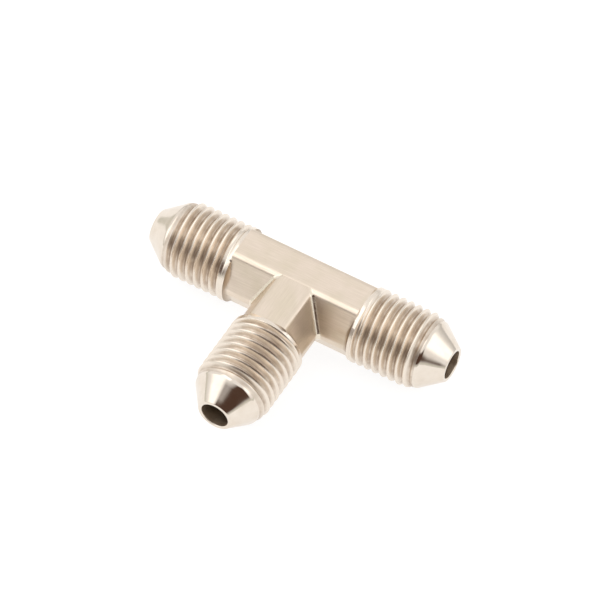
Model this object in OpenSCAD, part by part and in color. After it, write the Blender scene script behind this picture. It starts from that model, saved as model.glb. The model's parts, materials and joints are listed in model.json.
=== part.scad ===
// Union tee with three male flare ends. The run lies along X, the branch points along -Y,
// and the origin is where their axes cross. The part lies flat, with +Z up.
// The run bar and the branch bar are made apart and brazed together.

/* [Legs] */
// Crossing of the axes to the tip of each nose of the run
run_leg_l = 20; // [19.6:0.1:20.4]
// Crossing of the axes to the tip of the branch's nose
branch_leg_l = 20.4; // [20:0.1:20.6]
// Crossing of the axes to the end of the milled flats
flats_l = 8.4; // [8.1:0.1:8.8]
// Diameter of the passage through each leg
bore_d = 3.5; // [2.5:0.05:3.8]
// Chamfer at the mouth of each passage
mouth_chamfer = 0.12; // [0.05:0.01:0.2]

/* [Body section] */
// Diameter that the bar is turned to before its flats are milled
body_d = 10; // [9.9:0.05:10.4]
// Height across the top and bottom flats
body_h = 9.3; // [9:0.05:9.5]
// Width across the two narrow upright lands
body_w = 8.8; // [8.6:0.05:9.1]
// Distance across opposite sloping flats
slope_w = 8.2; // [8:0.05:8.5]
// Rise of a sloping flat's normal above the horizontal, in degrees
slope_tilt = 27; // [24:0.5:30]

/* [Rise] */
// Crossing of the axes to the start of the rise that leads from the flats to the thread
rise_l = 7.8; // [7.5:0.1:7.9]
// Diameter at the start of the rise, just inside the sloping flats
rise_foot_d = 8; // [7.6:0.1:8.1]

/* [Threads] */
// Major diameter of the 3/8-24 thread
thread_d = 9.525; // [9.4:0.005:9.6]
// Threads per inch
threads_per_inch = 24; // [24:1:28]
// Crossing of the axes to the middle of the first groove
first_groove_l = 9.75; // [9.7:0.05:9.95]
// Grooves that are cut to full depth
groove_count = 7; // [5:1:7]
// Length from the start of the thread's taper to the tip of the nose
lead_to_tip = 4.2; // [4.1:0.05:4.4]
// Length from the end of the thread's taper to the tip of the nose
land_to_tip = 3.1; // [3:0.05:3.3]

/* [Nose] */
// Angle between the cone's surface and its axis, in degrees
cone_angle = 37; // [35:0.5:45]
// Diameter of the flat rim at the tip
nose_d = 4.34; // [4.2:0.02:4.6]
// Diameter of the smooth land behind the cone
land_d = 8.52; // [8.3:0.02:8.6]

/* [Brazed joint] */
// Diameter of the spigot that locates the branch in the side of the run
spigot_d = 6; // [5:0.1:6.4]
// Crossing of the axes to the end face of the spigot
spigot_y = 2.4; // [2.2:0.05:2.8]
// Chamfer on the end of the spigot, which the filler ring fills
spigot_chamfer = 0.4; // [0.3:0.05:0.6]
// How far the filler bead reaches out from the outside corners
bead_reach = 0.45; // [0.2:0.01:0.5]

/* [Hidden] */
$fn = 96;
body_r = body_d / 2;
rise_foot_r = rise_foot_d / 2;
thread_r = thread_d / 2;
bore_r = bore_d / 2;
nose_r = nose_d / 2;
land_r = land_d / 2;
spigot_r = spigot_d / 2;
// Unified J thread form: 60 degree flanks, crest flats of an eighth of the pitch
pitch = 25.4 / threads_per_inch;
thread_depth = 0.5774 * pitch;
root_r = thread_r - thread_depth;
crest_half_gap = pitch * 7 / 16;
root_half_flat = crest_half_gap - thread_depth * tan(30);
cone_l = (land_r - nose_r) / tan(cone_angle);
taper_slope = (thread_r - land_r) / (lead_to_tip - land_to_tip);
last_root_l = first_groove_l + (groove_count - 1) * pitch + root_half_flat;
top_z = body_h / 2;
past = 1;
metal = [0.86, 0.80, 0.71];
filler = [0.90, 0.86, 0.72];

// Points of one groove, as [radius, distance along the leg]
function groove(l) = [
    [thread_r, l - crest_half_gap],
    [root_r, l - root_half_flat],
    [root_r, l + root_half_flat]
];

// The end of one thread's crest and the groove that follows it
function ridge_and_groove(i) =
    let (l = first_groove_l + i * pitch)
    concat([[thread_r, l - pitch + crest_half_gap]], groove(l));

// How far past the last root that groove's outer flank meets the taper, on a leg of length leg
function last_flank_l(leg) =
    (thread_depth - (last_root_l - leg + lead_to_tip) * taper_slope) / (1 / tan(30) + taper_slope);

// Turned outline of one flare end
function flare_outline(leg) = concat(
    [[0, rise_l], [rise_foot_r, rise_l], [thread_r, flats_l]],
    groove(first_groove_l),
    [for (i = [1 : groove_count - 1]) each ridge_and_groove(i)],
    [[root_r + last_flank_l(leg) / tan(30), last_root_l + last_flank_l(leg)]],
    [[land_r, leg - land_to_tip], [land_r, leg - cone_l], [nose_r, leg], [0, leg]]
);

// Rise, thread, land and cone, standing on the Z axis
module flare_end(leg) {
    rotate_extrude() polygon(flare_outline(leg));
}

// Corner where the sloping flat meets the top plane, with the sloping flat moved out by grow
function shoulder(grow) =
    [(slope_w / 2 + grow - top_z * sin(slope_tilt)) / cos(slope_tilt), top_z];

// Corner where the sloping flat meets the upright land, with both moved out by grow
function side(grow) =
    let (x = body_w / 2 + grow)
    [x, (slope_w / 2 + grow - x * cos(slope_tilt)) / sin(slope_tilt)];

// Section of the flats, before the corners are limited by the turned diameter
module flats_section(grow) {
    corners = [shoulder(grow), side(grow)];
    polygon([
        for (p = corners) p,
        for (p = [corners[1], corners[0]]) [p.x, -p.y],
        for (p = corners) -p,
        for (p = [corners[1], corners[0]]) [-p.x, p.y]
    ]);
}

// Milled bar along +Z, from one height to another, with the part's top face towards +Y
module milled_bar(from, to, grow) {
    translate([0, 0, from]) intersection() {
        cylinder(r = body_r + grow, h = to - from);
        linear_extrude(height = to - from) flats_section(grow);
    }
}

// Passage along +Z that ends in a chamfered mouth at the tip of the nose
module passage(from, leg) {
    translate([0, 0, from]) cylinder(r = bore_r, h = leg - from + past);
    translate([0, 0, leg - mouth_chamfer])
        cylinder(r1 = bore_r, r2 = bore_r + mouth_chamfer + past, h = mouth_chamfer + past);
}

// Lays what stands on Z along +X, or along -X when turned
module along_run(turned = false) {
    rotate([90, 0, turned ? -90 : 90]) children();
}

// Lays what stands on Z along -Y
module along_branch() {
    rotate([90, 0, 0]) children();
}

module run_blank(grow = 0) {
    along_run() milled_bar(-flats_l, flats_l, grow);
}

module branch_blank(grow = 0) {
    along_branch() milled_bar(0, flats_l, grow);
}

// Spigot that the branch carries, or the socket for it in the run
module spigot() {
    along_branch() translate([0, 0, spigot_y]) cylinder(r = spigot_r, h = body_r - spigot_y);
}

// Filler that fills the chamfer on the spigot's end
module filler_ring() {
    along_branch() translate([0, 0, spigot_y]) rotate_extrude() polygon([
        [spigot_r - spigot_chamfer, 0], [spigot_r, 0], [spigot_r, spigot_chamfer]
    ]);
}

module run_bar() {
    color(metal) difference() {
        union() {
            run_blank();
            along_run() flare_end(run_leg_l);
            along_run(true) flare_end(run_leg_l);
        }
        along_run() passage(-past, run_leg_l);
        along_run(true) passage(-past, run_leg_l);
        spigot();
        along_branch() cylinder(r = bore_r, h = spigot_y + past);
    }
}

module branch_bar() {
    color(metal) difference() {
        union() {
            difference() {
                branch_blank();
                run_blank();
            }
            intersection() {
                spigot();
                run_blank();
            }
            along_branch() flare_end(branch_leg_l);
        }
        filler_ring();
        along_branch() passage(0, branch_leg_l);
    }
}

module braze_ring() {
    color(filler) filler_ring();
}

// Filler in the outside corners, down both sides of the branch's root
module braze_fillet() {
    color(filler) difference() {
        intersection() {
            run_blank(bead_reach);
            branch_blank(bead_reach);
        }
        run_blank();
        branch_blank();
    }
}

run_bar();
branch_bar();
braze_ring();
braze_fillet();
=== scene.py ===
import json
import math
from collections import namedtuple

import bmesh
import bpy
import numpy as np
from mathutils import Matrix, Vector


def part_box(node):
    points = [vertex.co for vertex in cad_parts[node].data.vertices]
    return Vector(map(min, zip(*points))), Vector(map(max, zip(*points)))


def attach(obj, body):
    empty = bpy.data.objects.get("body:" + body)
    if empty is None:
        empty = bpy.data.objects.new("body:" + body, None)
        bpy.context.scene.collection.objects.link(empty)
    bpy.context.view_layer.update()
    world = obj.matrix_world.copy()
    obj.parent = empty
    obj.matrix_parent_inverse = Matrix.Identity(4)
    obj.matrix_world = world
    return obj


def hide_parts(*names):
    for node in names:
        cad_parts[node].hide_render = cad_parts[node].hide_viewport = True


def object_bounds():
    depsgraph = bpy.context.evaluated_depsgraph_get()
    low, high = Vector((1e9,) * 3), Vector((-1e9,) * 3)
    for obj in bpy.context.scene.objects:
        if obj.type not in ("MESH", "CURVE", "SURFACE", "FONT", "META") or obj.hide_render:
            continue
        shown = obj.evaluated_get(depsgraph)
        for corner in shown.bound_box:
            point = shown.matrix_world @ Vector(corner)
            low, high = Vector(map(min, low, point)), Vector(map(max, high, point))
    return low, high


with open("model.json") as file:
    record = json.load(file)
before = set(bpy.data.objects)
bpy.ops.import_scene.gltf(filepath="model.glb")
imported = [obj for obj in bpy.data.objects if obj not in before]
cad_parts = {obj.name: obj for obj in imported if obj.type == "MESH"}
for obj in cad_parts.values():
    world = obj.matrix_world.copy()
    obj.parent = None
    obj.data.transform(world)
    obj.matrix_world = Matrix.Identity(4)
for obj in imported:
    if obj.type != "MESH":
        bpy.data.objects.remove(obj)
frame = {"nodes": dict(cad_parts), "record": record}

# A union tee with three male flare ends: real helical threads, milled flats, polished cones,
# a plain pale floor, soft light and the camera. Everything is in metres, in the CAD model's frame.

CAD_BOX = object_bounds()
MM = 0.001
MOUNTS = {m["name"]: m for m in frame["record"]["mounts"]}

# What the frame states
RUN_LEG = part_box("run_bar")[1].x
BRANCH_LEG = -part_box("branch_bar")[0].y
THREAD_R = MOUNTS["thread_right"]["dims"]["r_mm"] * MM
BORE_R = MOUNTS["run_passage"]["dims"]["r_mm"] * MM
TOP = MOUNTS["top_flat"]["pos_m"][2]

# Milled body
BODY_R = 5.0 * MM
SIDE_X = 4.4 * MM
SLOPE_GAP = 4.1 * MM
SLOPE_TILT = math.radians(27)
FLATS_END = 8.4 * MM
RISE_START = 7.8 * MM
EDGE_BREAK = 0.06 * MM
# The higher it is, the crisper the edges between the flats
EDGE_SHARPNESS = 170

# Unified J thread, 24 to the inch: 60 degree flanks, crest flats of an eighth of the pitch
PITCH = 25.4 * MM / 24
THREAD_DEPTH = 0.5774 * PITCH
FLANK_SLOPE = math.tan(math.radians(30))
ROOT_R = THREAD_R - THREAD_DEPTH
CREST_HALF_GAP = PITCH * 7 / 16
ROOT_HALF_FLAT = CREST_HALF_GAP - THREAD_DEPTH * FLANK_SLOPE
RUN_FIRST_GROOVE = 9.7 * MM
BRANCH_FIRST_GROOVE = 10.0 * MM
SHOULDER_R = THREAD_R - EDGE_BREAK
SHOULDER_END = 8.8 * MM
THREAD_START = SHOULDER_END + EDGE_BREAK
# Lengths over which the thread runs out, at the shoulder and at the land before the cone
SHOULDER_RUN_OUT = 0.5 * MM
LAND_RUN_OUT = 0.3 * MM
LAND_RUN_OUT_LEAD = 0.09 * MM
CREST_ROUNDING = 0.2 * MM
ROOT_ROUNDING = 0.25 * MM

# Nose
LEAD_TO_TIP = 4.2 * MM
LAND_TO_TIP = 3.1 * MM
LAND_R = 4.26 * MM
NOSE_R = 2.17 * MM
CONE_ANGLE = math.radians(37)
CONE_LENGTH = (LAND_R - NOSE_R) / math.tan(CONE_ANGLE)
MOUTH_BEND = 0.12 * MM
NOSE_BEND = 0.1 * MM
RIM_BEND = 0.08 * MM
LAND_BEND = 0.22 * MM

# Brazed joint
SPIGOT_R = 3.0 * MM
SPIGOT_END = 2.4 * MM
SPIGOT_CHAMFER = 0.4 * MM
# Gaps that keep the two bars' surfaces apart
SOCKET_GAP = 0.01 * MM
FLAT_SINK = 0.003 * MM
# The fillet's radius, its share at the ends, and the length that sets how fast it grows from there
FILLET_R = 0.45 * MM
FILLET_END_SHARE = 0.3
FILLET_TAPER = 0.9 * MM
# How far the filler goes into the bars, and the share of the body's height that it covers
FILLET_ROOT = 0.1 * MM
FILLET_SPAN = 0.998

# Mesh fineness
AROUND = 256
ROWS_PER_PITCH = 16
RISE_STEPS = 5
BAR_STEPS = 4
BORE_STEPS = 8
COPE_STEPS = 7
FILLET_STEPS = 89
FILLET_BEND_STEPS = 6
WELD_DISTANCE = 1e-7
SLIVER_LENGTH = 1e-8
SHARP_EDGE = math.radians(32)

ANGLES = np.arange(AROUND) * 2 * math.pi / AROUND
UP = Vector((0, 0, 1))


# ---------------------------------------------------------------- shapes

# A row is (distance along a leg, radius) and makes one ring of vertices. Either can be an array
# with one number for each angle.

def section_radius(angles):
    """Radius of the milled section at each angle round the leg, with its edges slightly rounded."""
    flats = [(math.pi / 2, TOP), (-math.pi / 2, TOP), (0, SIDE_X), (math.pi, SIDE_X)]
    for turn in (0, math.pi):
        flats += [(turn + SLOPE_TILT, SLOPE_GAP), (turn - SLOPE_TILT, SLOPE_GAP)]
    closeness = np.ones_like(angles)
    for normal, gap in flats:
        reach = np.clip(np.cos(angles - normal), 0, None) / gap * BODY_R
        closeness = closeness + reach ** EDGE_SHARPNESS
    return BODY_R / closeness ** (1 / EDGE_SHARPNESS)


def half_width(height):
    """Half the width of the milled section at each height above the axis, with sharp edges."""
    height = np.minimum(np.abs(height), TOP)
    sloping = (SLOPE_GAP - height * math.sin(SLOPE_TILT)) / math.cos(SLOPE_TILT)
    turned = np.sqrt(BODY_R ** 2 - height ** 2)
    return np.minimum(np.minimum(sloping, turned), SIDE_X)


def soft_max(a, b, width):
    """The larger of a and b, rounded over where they meet."""
    closeness = np.clip(width - np.abs(a - b), 0, None) / width
    return np.maximum(a, b) + closeness ** 2 * width / 4


def soft_min(a, b, width):
    """The smaller of a and b, rounded over where they meet."""
    return -soft_max(-a, -b, width)


def arc(start, corner, end, steps=4):
    """Points of a smooth bend from start to end that leans towards corner."""
    share = np.linspace(0, 1, steps + 1)[:, None]
    start, corner, end = (np.array(point, float) for point in (start, corner, end))
    return (1 - share) ** 2 * start + 2 * share * (1 - share) * corner + share ** 2 * end


def bar_rows(start, section):
    """Rows of the plain milled bar, from start to just short of the rise."""
    return [(along, section) for along in np.linspace(start, RISE_START, BAR_STEPS, endpoint=False)]


def rise_rows():
    """Rows of the hollow rise that the cutter leaves between the flats and the shoulder."""
    section = section_radius(ANGLES)
    rows = [(RISE_START, section)]
    for share in np.linspace(0, 1, RISE_STEPS + 1)[1:]:
        height = SLOPE_GAP + (SHOULDER_R - SLOPE_GAP) * share ** 2
        along = RISE_START + (FLATS_END - RISE_START) * share
        rows.append((along, np.maximum(section, height)))
    return rows


class FlareEnd:
    """The turned end of one leg. first_groove places the start of its right-hand thread."""

    def __init__(self, length, first_groove):
        self.length = length
        self.first_groove = first_groove
        self.cone_base = length - CONE_LENGTH

    def thread_radius(self, angles, along):
        """Radius of the thread, cut into a blank that tapers to the land before the cone."""
        turns = (along - self.first_groove) / PITCH - angles / (2 * math.pi)
        from_middle = np.abs(turns - np.round(turns)) * PITCH
        flank = ROOT_R + (from_middle - ROOT_HALF_FLAT) / FLANK_SLOPE
        cut = soft_max(flank, ROOT_R, ROOT_ROUNDING)
        to_land = along - self.length + LAND_TO_TIP
        fading = np.clip(1 - (along - SHOULDER_END) / SHOULDER_RUN_OUT, 0, None)
        fading = fading + np.clip((to_land + LAND_RUN_OUT_LEAD) / LAND_RUN_OUT, 0, None)
        cut = cut + fading * THREAD_DEPTH
        taper = LAND_R - to_land * (THREAD_R - LAND_R) / (LEAD_TO_TIP - LAND_TO_TIP)
        blank = soft_min(soft_max(taper, LAND_R, EDGE_BREAK), THREAD_R, EDGE_BREAK)
        return soft_min(cut, blank, CREST_ROUNDING)

    def shoulder_rows(self):
        """Rows along the plain shoulder and onto the start of the thread."""
        thread = self.thread_radius(ANGLES, THREAD_START)
        return [(FLATS_END, SHOULDER_R), (SHOULDER_END, SHOULDER_R), (THREAD_START, thread)]

    def thread_rows(self):
        """Rows that climb with the helix, so that each keeps its place in the thread's form.

        They begin some turns before the first groove and end one turn late, and are held at the
        thread's two ends, so that the first and last rows are square rings.
        """
        last = self.cone_base - LAND_BEND
        turns_before = 3
        turns = turns_before + 1 + math.ceil((last - self.first_groove) / PITCH)
        rows = []
        for k in range(turns * ROWS_PER_PITCH + 1):
            climbed = k / ROWS_PER_PITCH - turns_before + ANGLES / (2 * math.pi)
            along = np.clip(self.first_groove + climbed * PITCH, THREAD_START, last)
            rows.append((along, self.thread_radius(ANGLES, along)))
        return rows

    def nose_rows(self):
        """Rows down the cone, over the rim and into the mouth of the passage."""
        tip = self.length
        cone = Vector((math.cos(CONE_ANGLE), -math.sin(CONE_ANGLE)))
        base = Vector((self.cone_base, LAND_R))
        rim = Vector((tip, NOSE_R))
        mouth = BORE_R + MOUTH_BEND
        points = list(arc((self.cone_base - LAND_BEND, LAND_R), base, base + cone * LAND_BEND))[1:]
        points += [base.lerp(rim, share) for share in (0.25, 0.5, 0.75)]
        points += list(arc(rim - cone * NOSE_BEND, rim, (tip, NOSE_R - RIM_BEND)))
        points += list(arc((tip, mouth), (tip, BORE_R), (tip - MOUTH_BEND, BORE_R)))
        return [(along, radius) for along, radius in points]


ZONES = ["milled", "turned", "polished", "bore"]


def add_rows(mesh, leg, rows, zone, climb=0):
    """Adds rings of vertices round a leg's axis, each joined to the one before it.

    climb is how many rows a helix gains in one turn.
    """
    side = UP.cross(leg)
    rings = []
    for along, radii in rows:
        radii = np.broadcast_to(radii, ANGLES.shape)
        along = np.broadcast_to(along, ANGLES.shape)
        ring = []
        for angle, radius, distance in zip(ANGLES, radii, along):
            outward = side * math.cos(angle) + UP * math.sin(angle)
            ring.append(mesh.verts.new(leg * distance + outward * radius))
        rings.append(ring)
    for k in range(len(rings) - 1):
        for i in range(AROUND):
            j = (i + 1) % AROUND
            lift = climb if j == 0 else 0
            if k + 1 + lift < len(rings):
                corners = rings[k][i], rings[k + lift][j], rings[k + 1 + lift][j], rings[k + 1][i]
                face = mesh.faces.new(corners)
                face.material_index = ZONES.index(zone)
                face.smooth = True


def add_flare_end(mesh, leg, end, bar, bore_end):
    """Adds one flare end to its bar, outside then inside, down the passage to bore_end."""
    body = bar + rise_rows()
    thread = end.thread_rows()
    nose = end.nose_rows()
    mouth = nose[-1][0]
    bore = [(along, BORE_R) for along in np.linspace(mouth, bore_end, BORE_STEPS + 1)]
    add_rows(mesh, leg, body, "milled")
    add_rows(mesh, leg, [body[-1]] + end.shoulder_rows(), "turned")
    add_rows(mesh, leg, thread, "turned", climb=ROWS_PER_PITCH)
    add_rows(mesh, leg, [thread[-1]] + nose, "polished")
    add_rows(mesh, leg, bore, "bore")


def finish_mesh(mesh, name):
    """Welds, cleans and shades the mesh, and makes it a piece."""
    bmesh.ops.remove_doubles(mesh, verts=mesh.verts, dist=WELD_DISTANCE)
    bmesh.ops.dissolve_degenerate(mesh, edges=mesh.edges, dist=SLIVER_LENGTH)
    bmesh.ops.recalc_face_normals(mesh, faces=mesh.faces)
    data = bpy.data.meshes.new(name)
    mesh.to_mesh(data)
    mesh.free()
    data.set_sharp_from_angle(angle=SHARP_EDGE)
    piece = bpy.data.objects.new(name, data)
    bpy.context.scene.collection.objects.link(piece)
    return piece


def open_side(run):
    """Cuts the branch's passage and the socket for its spigot into the side of the run."""
    mesh = bmesh.new()
    port = BORE_R - SOCKET_GAP
    socket = SPIGOT_R + SOCKET_GAP
    rows = [(0, 0), (0, port), (SPIGOT_END, port)]
    rows += [(SPIGOT_END, socket), (BODY_R, socket), (BODY_R, 0)]
    add_rows(mesh, Vector((0, -1, 0)), rows, "bore")
    cutter = finish_mesh(mesh, "socket_cutter")
    cut = run.modifiers.new("socket", "BOOLEAN")
    cut.object = cutter
    cut.operation = "DIFFERENCE"
    cut.solver = "EXACT"
    seen = run.evaluated_get(bpy.context.evaluated_depsgraph_get())
    opened = bpy.data.meshes.new_from_object(seen)
    run.modifiers.clear()
    run.data = opened
    bpy.data.objects.remove(cutter)


def run_piece():
    """The run: two flare ends back to back on one milled bar, with a socket in its side."""
    mesh = bmesh.new()
    bar = bar_rows(0, section_radius(ANGLES))
    end = FlareEnd(RUN_LEG, RUN_FIRST_GROOVE)
    for leg in (Vector((1, 0, 0)), Vector((-1, 0, 0))):
        add_flare_end(mesh, leg, end, bar, bore_end=0)
    run = finish_mesh(mesh, "run_bar_visual")
    open_side(run)
    return run


def branch_piece():
    """The branch: its milled bar is coped to the run's side and has a spigot behind the cope."""
    section = section_radius(ANGLES) - FLAT_SINK
    lift = np.abs(np.sin(ANGLES))
    spigot = [(SPIGOT_END, BORE_R), (SPIGOT_END, SPIGOT_R - SPIGOT_CHAMFER)]
    spigot += [(SPIGOT_END + SPIGOT_CHAMFER, SPIGOT_R)]
    cope = []
    for share in np.linspace(0, 1, COPE_STEPS + 1):
        radii = SPIGOT_R + (section - SPIGOT_R) * share
        cope.append((half_width(radii * lift), radii))
    cope_edge = cope[-1][0]
    bar = cope[:-1] + bar_rows(cope_edge, section)
    end = FlareEnd(BRANCH_LEG, BRANCH_FIRST_GROOVE)
    mesh = bmesh.new()
    leg = Vector((0, -1, 0))
    add_rows(mesh, leg, spigot + [cope[0]], "turned")
    add_flare_end(mesh, leg, end, bar, bore_end=SPIGOT_END)
    return finish_mesh(mesh, "branch_bar_visual")


def fillet_piece():
    """Braze filler: a hollow fillet down each outside corner between the branch and the run."""
    mesh = bmesh.new()
    heights = np.linspace(-TOP, TOP, FILLET_STEPS + 1) * FILLET_SPAN
    widths = half_width(heights)
    bend = np.linspace(0, math.pi / 2, FILLET_BEND_STEPS + 1)
    for side in (1, -1):
        before = None
        for height, width in zip(heights, widths):
            share = FILLET_END_SHARE + math.sqrt((TOP - abs(height)) / FILLET_TAPER)
            size = FILLET_R * min(1, share)
            far = width + size
            outline = [(far - size * math.sin(b), far - size * math.cos(b)) for b in bend]
            outline += [(width - FILLET_ROOT, width - FILLET_ROOT)]
            ring = [mesh.verts.new((side * x, -y, height)) for x, y in outline]
            if before:
                for i in range(len(ring)):
                    j = (i + 1) % len(ring)
                    face = mesh.faces.new((before[i], before[j], ring[j], ring[i]))
                    face.smooth = True
            else:
                mesh.faces.new(ring)
            before = ring
        mesh.faces.new(before)
    return finish_mesh(mesh, "braze_fillet_visual")


# ---------------------------------------------------------------- finishes

class Nodes:
    """Helpers that add nodes to a tree and return their outputs."""

    def __init__(self, tree):
        self.tree = tree

    def coordinates(self, name):
        """Texture coordinates: 'Object' for a part's own, 'Generated' for directions in the sky."""
        return self.tree.nodes.new("ShaderNodeTexCoord").outputs[name]

    def feed(self, socket, value):
        """Sets a socket, or links it when the value is another node's output."""
        if isinstance(value, bpy.types.NodeSocket):
            self.tree.links.new(value, socket)
        elif hasattr(socket.default_value, "__len__") and len(socket.default_value) == 4:
            socket.default_value = (*value, 1)
        else:
            socket.default_value = value

    def dot(self, a, b):
        """Dot product of two vectors."""
        node = self.tree.nodes.new("ShaderNodeVectorMath")
        node.operation = "DOT_PRODUCT"
        self.feed(node.inputs[0], a)
        self.feed(node.inputs[1], b)
        return node.outputs["Value"]

    def spread(self, value, source, target):
        """Maps a value's source range onto the target range, clamped. A range is (start, end)."""
        node = self.tree.nodes.new("ShaderNodeMapRange")
        self.feed(node.inputs["Value"], value)
        node.inputs["From Min"].default_value, node.inputs["From Max"].default_value = source
        node.inputs["To Min"].default_value, node.inputs["To Max"].default_value = target
        return node.outputs["Result"]

    def maths(self, operation, a, b=0.0):
        """One Math node. An operation on a single value ignores b."""
        node = self.tree.nodes.new("ShaderNodeMath")
        node.operation = operation
        self.feed(node.inputs[0], a)
        self.feed(node.inputs[1], b)
        return node.outputs["Value"]

    def blend(self, factor, a, b):
        """Colour a where the factor is 0 and b where it is 1."""
        node = self.tree.nodes.new("ShaderNodeMix")
        node.data_type = "RGBA"
        self.feed(node.inputs["Factor"], factor)
        self.feed(node.inputs["A"], a)
        self.feed(node.inputs["B"], b)
        return node.outputs["Result"]


class Finish(Nodes):
    """A Principled material with procedural nodes in the part's own coordinates."""

    def __init__(self, name, metallic=1.0):
        self.material = bpy.data.materials.new(name)
        self.material.use_nodes = True
        super().__init__(self.material.node_tree)
        self.shader = self.tree.nodes["Principled BSDF"]
        self.shader.inputs["Metallic"].default_value = metallic
        self.place = self.coordinates("Object")

    def paint(self, name, value):
        """Feeds one of the shader's sockets."""
        self.feed(self.shader.inputs[name], value)

    def noise(self, stretch, detail=3.0):
        """Noise with this many features per millimetre along X, Y and Z."""
        mapping = self.tree.nodes.new("ShaderNodeMapping")
        self.feed(mapping.inputs["Vector"], self.place)
        mapping.inputs["Scale"].default_value = [s / MM for s in stretch]
        noise = self.tree.nodes.new("ShaderNodeTexNoise")
        self.feed(noise.inputs["Vector"], mapping.outputs["Vector"])
        noise.inputs["Scale"].default_value = 1.0
        noise.inputs["Detail"].default_value = detail
        noise.inputs["Roughness"].default_value = 0.55
        return noise.outputs["Fac"]

    def bump(self, height, depth):
        """Relief of this depth in metres."""
        node = self.tree.nodes.new("ShaderNodeBump")
        node.inputs["Strength"].default_value = 1.0
        node.inputs["Distance"].default_value = depth
        self.feed(node.inputs["Height"], height)
        self.paint("Normal", node.outputs["Normal"])

    def offset(self, axis):
        """Distance from the origin, measured along 'X', 'Y' or 'Z'."""
        split = self.tree.nodes.new("ShaderNodeSeparateXYZ")
        self.feed(split.inputs["Vector"], self.place)
        return self.maths("ABSOLUTE", split.outputs[axis])

    def distance_from(self, axis):
        """Distance from a leg's axis, 'X' or 'Y'."""
        across = self.offset("Y" if axis == "X" else "X")
        squares = [self.maths("MULTIPLY", v, v) for v in (across, self.offset("Z"))]
        return self.maths("SQRT", self.maths("ADD", *squares))


def along_axis(axis, fine, coarse):
    """Noise scales that are coarse along the leg's axis and fine across it."""
    return (coarse, fine, fine) if axis == "X" else (fine, coarse, fine)


def milled_finish(name, axis):
    """Milled flats: fine straight grain along the bar, faint mottling, painted shade in the hollow
    rise.
    """
    pale, warm = (0.84, 0.72, 0.61), (0.77, 0.67, 0.54)
    # The first colour below is the grain's scratches; the second is painted shade for the hollow
    # rise.
    scratch, shade_colour = (0.6, 0.5, 0.39), (0.3, 0.22, 0.15)
    finish = Finish(name)
    grain = finish.noise(along_axis(axis, 14, 0.35), detail=4)
    mottle = finish.noise((0.35, 0.35, 0.35), detail=2)
    plate = finish.blend(finish.spread(mottle, (0.35, 0.65), (0, 1)), pale, warm)
    metal = finish.blend(finish.spread(grain, (0.35, 0.75), (0, 0.5)), plate, scratch)
    # Painted shade: darkens the hollow rise at the foot of the flats, fading out towards the top.
    in_rise = finish.spread(finish.offset(axis), (RISE_START, FLATS_END), (0, 1))
    off_top = finish.spread(finish.offset("Z"), (0.7 * TOP, 0.9 * TOP), (0.8, 0))
    painted_shade = finish.maths("MULTIPLY", in_rise, off_top)
    finish.paint("Base Color", finish.blend(painted_shade, metal, shade_colour))
    finish.paint("Roughness", finish.spread(grain, (0.3, 0.7), (0.28, 0.42)))
    finish.bump(grain, 0.0025 * MM)
    return finish.material


def turned_finish(name, axis):
    """Turned thread: fine tool lines round the bar, and patchy painted shade down in the roots."""
    pale, warm = (0.85, 0.765, 0.67), (0.80, 0.705, 0.60)
    # Painted shade colour for the thread roots, and the depths over which it fades out.
    shade_colour = (0.42, 0.32, 0.235)
    shaded_depth = (ROOT_R + 0.05 * MM, ROOT_R + 0.42 * MM)
    finish = Finish(name)
    lines = finish.noise(along_axis(axis, 0.3, 16))
    # Painted shade: darker colour down in the thread roots, in patches, with the roots a little
    # rougher there too.
    depth = finish.spread(finish.distance_from(axis), shaded_depth, (1, 0))
    patches = finish.spread(finish.noise((0.8, 0.8, 0.8)), (0.35, 0.7), (0.35, 0.85))
    painted_shade = finish.maths("MULTIPLY", depth, patches)
    finish.paint("Base Color", finish.blend(painted_shade, finish.blend(lines, pale, warm), shade_colour))
    roughness = finish.spread(lines, (0.3, 0.7), (0.2, 0.3))
    shade_roughness = finish.maths("MULTIPLY", painted_shade, 0.25)
    finish.paint("Roughness", finish.maths("ADD", roughness, shade_roughness))
    finish.bump(lines, 0.0012 * MM)
    return finish.material


def polished_finish(name, axis):
    """Cone and rim: bright, with the faintest turning rings and a few soft smears."""
    bright, smeared = (0.80, 0.72, 0.63), (0.75, 0.66, 0.56)
    finish = Finish(name)
    rings = finish.noise(along_axis(axis, 0.15, 11), detail=2)
    smears = finish.noise((0.6, 0.6, 0.6))
    smear = finish.spread(smears, (0.35, 0.7), (0, 1))
    finish.paint("Base Color", finish.blend(smear, bright, smeared))
    finish.paint("Roughness", finish.spread(smears, (0.3, 0.7), (0.07, 0.16)))
    finish.bump(rings, 0.0006 * MM)
    return finish.material


def bore_finish(name, axis):
    """Drilled passage: dull, and a darker brown than the outside of the bars."""
    # Colours darker than the outside of the bars, all down the passage.
    bore_dark, bore_pale = (0.34, 0.27, 0.2), (0.55, 0.44, 0.33)
    finish = Finish(name)
    lines = finish.noise(along_axis(axis, 0.6, 9))
    finish.paint("Base Color", finish.blend(lines, bore_dark, bore_pale))
    finish.paint("Roughness", finish.spread(lines, (0.3, 0.7), (0.4, 0.6)))
    finish.bump(lines, 0.004 * MM)
    return finish.material


def filler_finish():
    """Braze filler: smooth, with slow ripples from where it froze."""
    trough, crest = (0.80, 0.70, 0.57), (0.85, 0.77, 0.64)
    finish = Finish("braze_filler")
    ripples = finish.noise((1.6, 1.6, 2.4), detail=2)
    finish.paint("Base Color", finish.blend(ripples, trough, crest))
    finish.paint("Roughness", finish.spread(ripples, (0.3, 0.7), (0.16, 0.28)))
    finish.bump(ripples, 0.012 * MM)
    return finish.material


def dress_bar(piece, axis, node):
    """Gives a bar its four finishes and ties it to the frame."""
    makers = (milled_finish, turned_finish, polished_finish, bore_finish)
    for zone, maker in zip(ZONES, makers):
        piece.data.materials.append(maker(f"{node}_{zone}", axis))
    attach(piece, "root")
    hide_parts(node)


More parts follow.
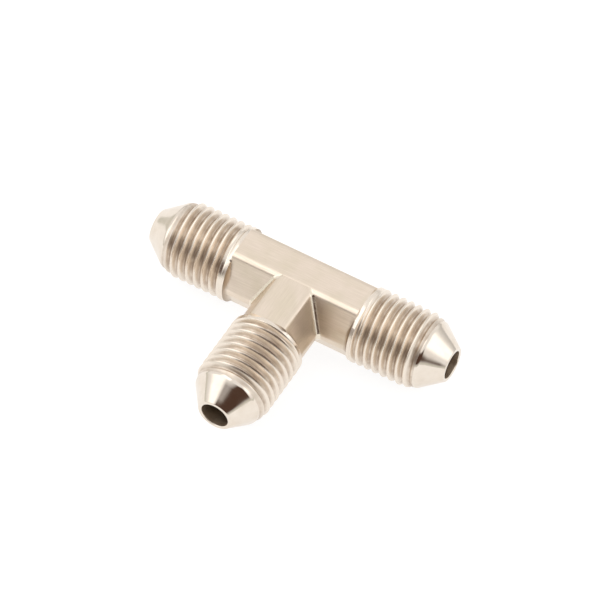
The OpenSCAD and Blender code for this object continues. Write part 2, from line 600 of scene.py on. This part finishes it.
# ---------------------------------------------------------------- floor, light and camera

FLOOR_REACH = 1.5
FLOOR_PAINT = (0.25, 0.25, 0.25)
FLOOR_GLOW = 0.86

# A soft-edged panel of the sky. turn is where its middle is, from straight ahead of the branch
# towards the run's right end. Every number but the colour is in degrees.
Panel = namedtuple("Panel", "turn half_width low high soft colour")

# Later panels cover earlier ones: the tent's foot, its back wall, the dark opening, three softboxes
SKY_PANELS = [
    Panel(0, 200, -10, 6, 5, (0.68, 0.68, 0.62)),
    Panel(180, 50, -12, 14, 8, (0.68, 0.68, 0.68)),
    Panel(21, 41, 7, 48, 4, (0.09, 0.05, 0.035)),
    Panel(-70, 60, 55, 100, 7, (1.75, 1.75, 1.75)),
    Panel(-52, 23, 20, 62, 6, (1.6, 1.6, 1.6)),
    Panel(108, 28, 22, 46, 7, (1.6, 1.6, 1.6)),
]

# The direction that the camera looks from, its roll and distance, how far its axis passes to the
# left of the origin and below it, and its lens and sensor in millimetres
CAMERA_TURN = math.radians(29.08)
CAMERA_RISE = math.radians(52.96)
CAMERA_ROLL = math.radians(-1.51)
CAMERA_DISTANCE = 488 * MM
AIM_LEFT = 0.41 * MM
AIM_DOWN = 0.66 * MM
LENS = 248.9
SENSOR_WIDTH = 36
NEAREST_SEEN = 10 * MM


def make_floor():
    """A white light table, which leaves only a faint shadow under the part."""
    floor_mesh = bpy.data.meshes.new("floor")
    height = CAD_BOX[0].z
    corners = [(-1, -1), (1, -1), (1, 1), (-1, 1)]
    vertices = [(x * FLOOR_REACH, y * FLOOR_REACH, height) for x, y in corners]
    floor_mesh.from_pydata(vertices, [], [(0, 1, 2, 3)])
    floor = bpy.data.objects.new("floor", floor_mesh)
    bpy.context.scene.collection.objects.link(floor)
    table = Finish("light_table", metallic=0.0)
    table.paint("Roughness", 0.9)
    table.paint("Base Color", FLOOR_PAINT)
    table.paint("Emission Color", (1, 1, 1))
    table.paint("Emission Strength", FLOOR_GLOW)
    table.paint("Specular IOR Level", 0.1)
    floor_mesh.materials.append(table.material)


def panel_mask(nodes, direction, panel):
    """1 inside a panel of the sky and 0 outside it."""
    turn, half_width, low, high, soft = (math.radians(angle) for angle in panel[:5])
    side = nodes.dot(direction, (math.cos(turn), math.sin(turn), 0))
    ahead = nodes.dot(direction, (math.sin(turn), -math.cos(turn), 0))
    away = nodes.maths("ABSOLUTE", nodes.maths("ARCTAN2", side, ahead))
    height = nodes.maths("ARCSINE", nodes.dot(direction, (0, 0, 1)))
    within = nodes.spread(away, (half_width - soft, half_width + soft), (1, 0))
    above = nodes.spread(height, (low - soft, low + soft), (0, 1))
    below = nodes.spread(height, (high - soft, high + soft), (1, 0))
    return nodes.maths("MULTIPLY", nodes.maths("MULTIPLY", within, above), below)


def make_world():
    """A white tent with a greyer foot and back wall, a dark opening in front and three softboxes."""
    world = bpy.data.worlds.new("tent")
    bpy.context.scene.world = world
    world.use_nodes = True
    nodes = Nodes(world.node_tree)
    direction = nodes.coordinates("Generated")
    light = (1.0, 1.0, 1.0)
    for panel in SKY_PANELS:
        light = nodes.blend(panel_mask(nodes, direction, panel), light, panel.colour)
    background = world.node_tree.nodes["Background"]
    nodes.feed(background.inputs["Color"], light)


def make_camera():
    """Looks down at the tee from its right front, as the object is usually shown."""
    turn, rise, roll = CAMERA_TURN, CAMERA_RISE, CAMERA_ROLL
    level = Vector((math.sin(turn), -math.cos(turn), 0))
    back = level * math.cos(rise) + UP * math.sin(rise)
    right = Vector((math.cos(turn), math.sin(turn), 0))
    up = back.cross(right)
    across = right * math.cos(roll) - up * math.sin(roll)
    upright = right * math.sin(roll) + up * math.cos(roll)
    camera = bpy.data.objects.new("camera", bpy.data.cameras.new("camera"))
    camera.data.lens = LENS
    camera.data.sensor_width = SENSOR_WIDTH
    camera.data.clip_start = NEAREST_SEEN
    camera.matrix_world = Matrix((across, upright, back)).transposed().to_4x4()
    camera.location = back * CAMERA_DISTANCE - right * AIM_LEFT - up * AIM_DOWN
    bpy.context.scene.collection.objects.link(camera)
    bpy.context.scene.camera = camera


run = run_piece()
dress_bar(run, "X", "run_bar")
branch = branch_piece()
dress_bar(branch, "Y", "branch_bar")
filler = filler_finish()
fillet = fillet_piece()
fillet.data.materials.append(filler)
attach(fillet, "root")
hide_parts("braze_fillet")
ring = frame["nodes"]["braze_ring"]
ring.data.materials.clear()
ring.data.materials.append(filler)

make_floor()
make_world()
make_camera()
bpy.context.scene.view_settings.view_transform = "Standard"
